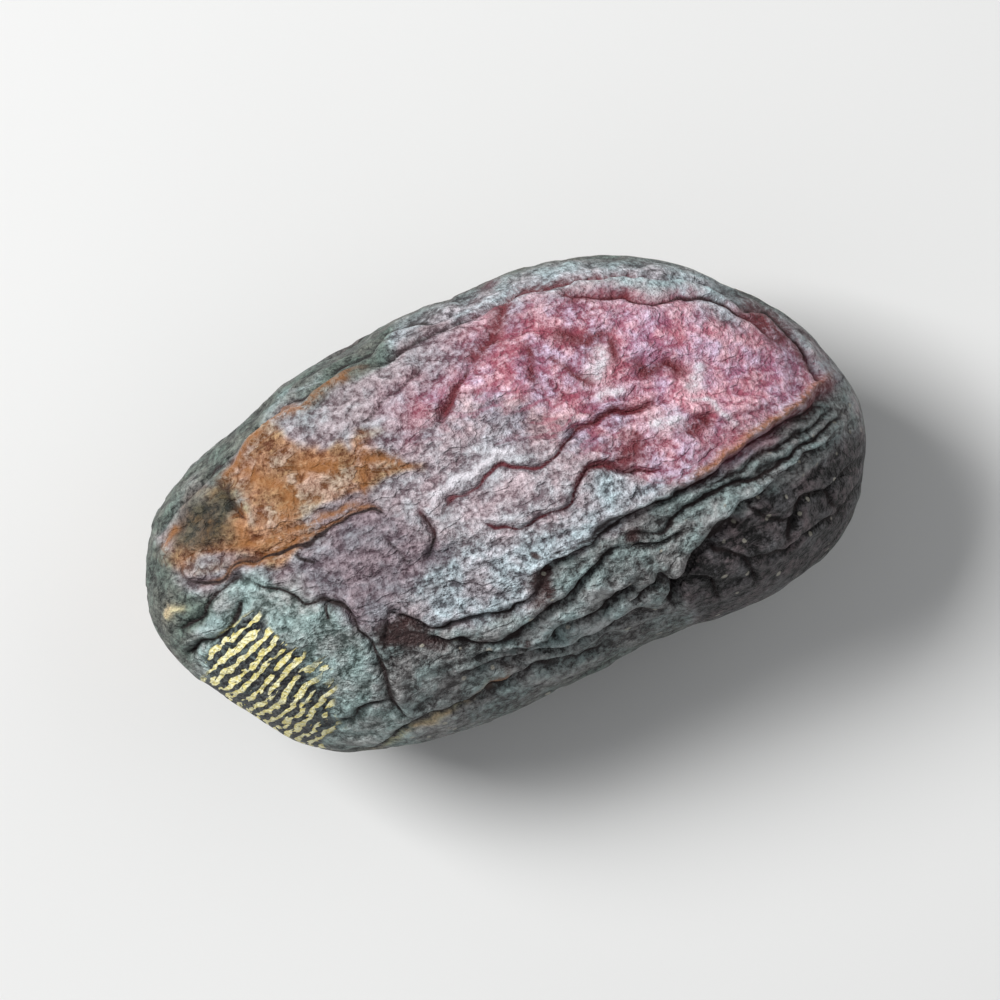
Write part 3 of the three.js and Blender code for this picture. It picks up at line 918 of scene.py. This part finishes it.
def with_marks(look, colour, vein, cover):
    """The colour with the frosted, rusty and wine red marks on it."""
    frosted = look.product(look.field("frost"), look.ramp(cover, -0.8, 1.0, 0.45, 1.00))
    colour = look.mix(frosted, colour, FROST)
    plain_tan = look.math("SUBTRACT", look.field("tan"), look.field("umber"))
    colour = look.mix(look.product(look.product(plain_tan, vein), 0.30), colour, RUST)
    scuffed = look.ramp(cover, -0.6, 1.5, 0.80, 0.22)
    colour = look.mix(look.product(look.field("rust"), scuffed), colour, RUST)
    worn = look.ramp(cover, -0.6, 1.1, 1.00, 0.55)
    return look.mix(look.product(look.field("wine"), worn), colour, WINE)


def crease_shade(look, patterns):
    """How dark the creases are: a thin ragged core along each fold, and a softer painted shade round
    it.
    """
    groove = look.field("groove")
    away = look.math("ABSOLUTE", look.math("MULTIPLY_ADD", look.field("line"), 2.0, third=-1.0))
    grain, blotches = patterns["grain"], patterns["blotches"]
    ragged = look.total((grain, -0.16), (blotches, -0.55), (away, 1.0), (0.35, 1.0))
    core = look.product(look.ramp(ragged, 0.05, 0.17, 1, 0), look.ramp(groove, 0.30, 0.85))
    deepest = look.larger(groove, look.product(look.field("wild"), 0.8))
    # The core is partly the skin's own dark line and partly painted shade; the softer shade round
    # the folds and in the deep valleys is painted shade.
    return look.larger(core, look.ramp(deepest, 0.50, 1.0, 0.0, 0.62))


def skin_finish():
    """Dark purple skin under a waxy bloom, with patches of other kinds of skin."""
    look = Finish("date_skin")
    patterns = skin_patterns(look)
    grain = patterns["grain"]
    plateau = look.field("plateau")
    bare, wax = skin_tones(look, patterns["clouds"])
    cover = wax_cover(look, patterns)
    bloom = look.ramp(cover, -COVER_SPAN, COVER_SPAN, shape="LINEAR")
    colour = with_tints(look, look.mix(bloom, bare, wax), patterns)
    colour = with_marks(look, colour, patterns["vein"], cover)

    # Painted shade in the creases over their own dark lines: dark red on the plateau, near black
    # elsewhere.
    crease = crease_shade(look, patterns)
    reddish = look.larger(plateau, look.field("milky"))
    crease_shade_tone = look.mix(reddish, DARK_CREASE, RED_CREASE)
    colour = look.mix(look.product(crease, 0.95), colour, crease_shade_tone)

    dash, gap = hatching(look, grain)
    colour = look.mix(gap, colour, HATCH_GAP)
    yellow = look.mix(look.ramp(grain, 0.38, 0.62), HATCH_SHADE, HATCH_DASH)
    colour = look.mix(look.product(dash, 0.95), colour, yellow)

    look.put(look.shader.inputs["Base Color"], colour)
    rough = look.total((bloom, 0.20), (grain, 0.20), (crease, 0.1), (plateau, -0.05), (0.34, 1.0))
    look.put(look.shader.inputs["Roughness"], rough)
    look.shader.inputs["Specular IOR Level"].default_value = 0.35
    heights = [(patterns[name], weight) for name, weight in GRAIN_HEIGHTS.items()]
    look.bump(look.total(*heights, (dash, DASH_HEIGHT)), GRAIN_DEPTH)
    return look.material


def calyx_finish():
    """Dry tan cap, with painted shade in its steps, its seams and its scar, and on its back."""
    look = Finish("date_calyx")
    millimetres = look.stretched()
    clouds = look.noise(millimetres, 1.6, 4.0, 0.6)
    grain = look.noise(millimetres, 0.22, 3.0, 0.6)
    hollow = look.field("hollow")
    colour = look.mix(clouds, BARK_BROWN, BARK_TAN)
    colour = look.mix(look.ramp(grain, 0.45, 0.75, 0.0, 0.5), colour, BARK_DUST)
    colour = look.mix(look.ramp(hollow, 0.1, 0.9), colour, BARK_HOLLOW)
    look.put(look.shader.inputs["Base Color"], colour)
    look.put(look.shader.inputs["Roughness"], look.total((grain, 0.25), (0.42, 1.0)))
    look.bump(look.total((grain, 0.6), (clouds, 0.8)), 0.12, 0.8)
    return look.material


def floor_finish():
    """A plain pale board with the faintest unevenness."""
    look = Finish("pale_floor")
    haze = look.noise(look.stretched(), 60.0, 2.0)
    look.put(look.shader.inputs["Base Color"], look.mix(haze, *FLOOR_TONES))
    look.shader.inputs["Roughness"].default_value = 0.7
    return look.material


# ----- Pieces -----


def add_object(name, mesh, material):
    """A smooth piece of the scene with one material."""
    for face in mesh.polygons:
        face.use_smooth = True
    mesh.materials.append(material)
    piece = bpy.data.objects.new(name, mesh)
    bpy.context.scene.collection.objects.link(piece)
    return piece


def build_fruit():
    """The wrinkled fruit, which stands in for the CAD fruit."""
    skin = Skin(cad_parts["date_fruit"])
    relief, marks = relief_of(skin)
    mesh = fruit_mesh(skin, relief)
    for name, field in {**marks, **kinds_of_skin(skin)}.items():
        store(mesh, name, np.clip(field, 0, 1))
    fruit = add_object("fruit_skin", mesh, skin_finish())
    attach(fruit, "root")
    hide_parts("date_fruit")


def calyx_axes(vertices):
    """The middle of the cap, its outward direction, two directions across it, and its half sizes."""
    middle = (vertices.max(axis=0) + vertices.min(axis=0)) / 2
    _, _, directions = np.linalg.svd(vertices - vertices.mean(axis=0), full_matrices=False)
    outward = directions[2] * (-1 if directions[2][0] > 0 else 1)
    across = np.cross(outward, (0, 0, 1))
    across /= np.linalg.norm(across)
    upward = np.cross(across, outward)
    sizes = [np.ptp((vertices - middle) @ direction) / 2 for direction in (outward, across, upward)]
    return middle, (outward, across, upward), sizes


def lobe_reach(turn, start):
    """The outline of a ring of rounded lobes: 1 at the middle of a lobe, less where two meet."""
    swing = np.abs(np.cos(CALYX_LOBES * (turn - start) / 2))
    return 0.84 + 0.16 * swing**0.55


def calyx_height(share, turn, waves):
    """How far the cap's outer face stands out, and how much painted shade its steps, seams and scar
    get.
    """
    inner = CALYX_INNER * lobe_reach(turn, math.pi / CALYX_LOBES)
    dome = CALYX_DOME * (1 - share**2.6)
    steps = CALYX_STEP * smooth_step(inner - share, -0.03, 0.03)
    steps += 0.8 * CALYX_STEP * smooth_step(CALYX_COLLAR - share, -0.03, 0.05)
    scar = smooth_step(CALYX_SCAR - share, -0.03, 0.08)
    ribs = 0.045 * np.sin(34 * turn + 3 * waves) * smooth_step(share, 0.15, 0.5)
    seams = (np.abs(np.sin(CALYX_LOBES * turn / 2)) < CALYX_SEAM) * (share > inner)
    stubs = 0.10 * np.sin(9 * turn + 22 * share) * scar
    height = dome + steps - 0.75 * scar + ribs + 0.05 * waves + stubs - 0.16 * seams
    # hollow: painted shade at the foot of each step, in the seams and in the scar.
    hollow = 0.8 * np.exp(-(((share - inner - 0.035) / 0.035) ** 2))
    hollow += 0.8 * np.exp(-(((share - CALYX_COLLAR - 0.04) / 0.035) ** 2))
    hollow = np.maximum(hollow, 0.9 * scar)
    hollow = np.maximum(hollow, 0.8 * seams)
    return height, hollow


def calyx_grid(vertices):
    """The cap's corners, ring by ring from the middle of its face round to the back, and the painted
    shade of its hollows.
    """
    middle, (outward, across, upward), (half_thick, half_wide, half_high) = calyx_axes(vertices)
    phases = np.random.default_rng(SEED).uniform(0, 2 * math.pi, 6)
    turn = np.arange(CALYX_COLUMNS) * 2 * math.pi / CALYX_COLUMNS
    corners = []
    hollows = []
    for ring in range(CALYX_RINGS):
        sweep = math.pi * (ring + 0.5) / CALYX_RINGS
        share = math.sin(sweep) ** 0.8
        waves = sum(
            np.sin((order + 2) * turn + phase + 5 * share) for order, phase in enumerate(phases)
        ) / 2.4
        if sweep < math.pi / 2:
            height, hollow = calyx_height(share, turn, waves)
        else:
            height = np.full(CALYX_COLUMNS, -0.5 * (1 - share**2))
            # painted shade on the back that faces the fruit
            hollow = np.full(CALYX_COLUMNS, 0.6)
        reach = share * (lobe_reach(turn, 0) + 0.012 * waves)
        rise = half_thick * (height * 1.15 - 0.35)
        line = middle + np.outer(rise, outward)
        line += np.outer(reach * half_wide * np.cos(turn), across)
        line += np.outer(reach * half_high * np.sin(turn), upward)
        corners.append(line)
        hollows.append(hollow)
    return np.array(corners), np.array(hollows)


def build_calyx():
    """The woody cap: three outer lobes, three inner ones on a step, and the scar of the stalk."""
    vertices = np.array([vertex.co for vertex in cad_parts["calyx"].data.vertices]) / METRES
    corners, hollows = calyx_grid(vertices)
    mesh, _ = closed_mesh("calyx_cap", corners)
    store(mesh, "hollow", np.clip(hollows, 0, 1))
    cap = add_object("calyx_cap", mesh, calyx_finish())
    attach(cap, "root")
    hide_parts("calyx")


def build_floor():
    """The plain board that the date lies on."""
    mesh = bpy.data.meshes.new("floor")
    far = FLOOR_HALF
    corners = [(-far, -far, 0), (far, -far, 0), (far, far, 0), (-far, far, 0)]
    mesh.from_pydata(corners, [], [(0, 1, 2, 3)])
    floor = add_object("floor", mesh, floor_finish())


def add_light(name, place, size, power):
    """A square soft light that faces the date."""
    data = bpy.data.lights.new(name, "AREA")
    data.size = size
    data.energy = power
    light = bpy.data.objects.new(name, data)
    light.location = place
    light.rotation_euler = (Vector(LIGHT_TARGET) - Vector(place)).to_track_quat("-Z", "Y").to_euler()
    bpy.context.scene.collection.objects.link(light)


def build_light():
    """Soft lights and a pale sky all round."""
    for light in LIGHTS:
        add_light(*light)
    world = bpy.data.worlds.new("studio")
    world.use_nodes = True
    sky = world.node_tree.nodes["Background"]
    sky.inputs["Color"].default_value = SKY_COLOUR
    sky.inputs["Strength"].default_value = SKY_STRENGTH
    bpy.context.scene.world = world
    bpy.context.scene.view_settings.view_transform = "Standard"


def build_camera():
    """Straight above the date, turned so that the tip points right and a little up."""
    data = bpy.data.cameras.new("camera")
    data.lens = CAMERA_LENS
    data.sensor_width = CAMERA_SENSOR
    camera = bpy.data.objects.new("camera", data)
    low, high = cad_box
    middle = (low + high) / 2
    camera.location = (middle.x, middle.y, high.z + CAMERA_HEIGHT)
    camera.rotation_euler = (0, 0, CAMERA_TURN)
    bpy.context.scene.collection.objects.link(camera)
    bpy.context.scene.camera = camera


build_camera()
build_fruit()
build_calyx()
build_floor()
build_light()
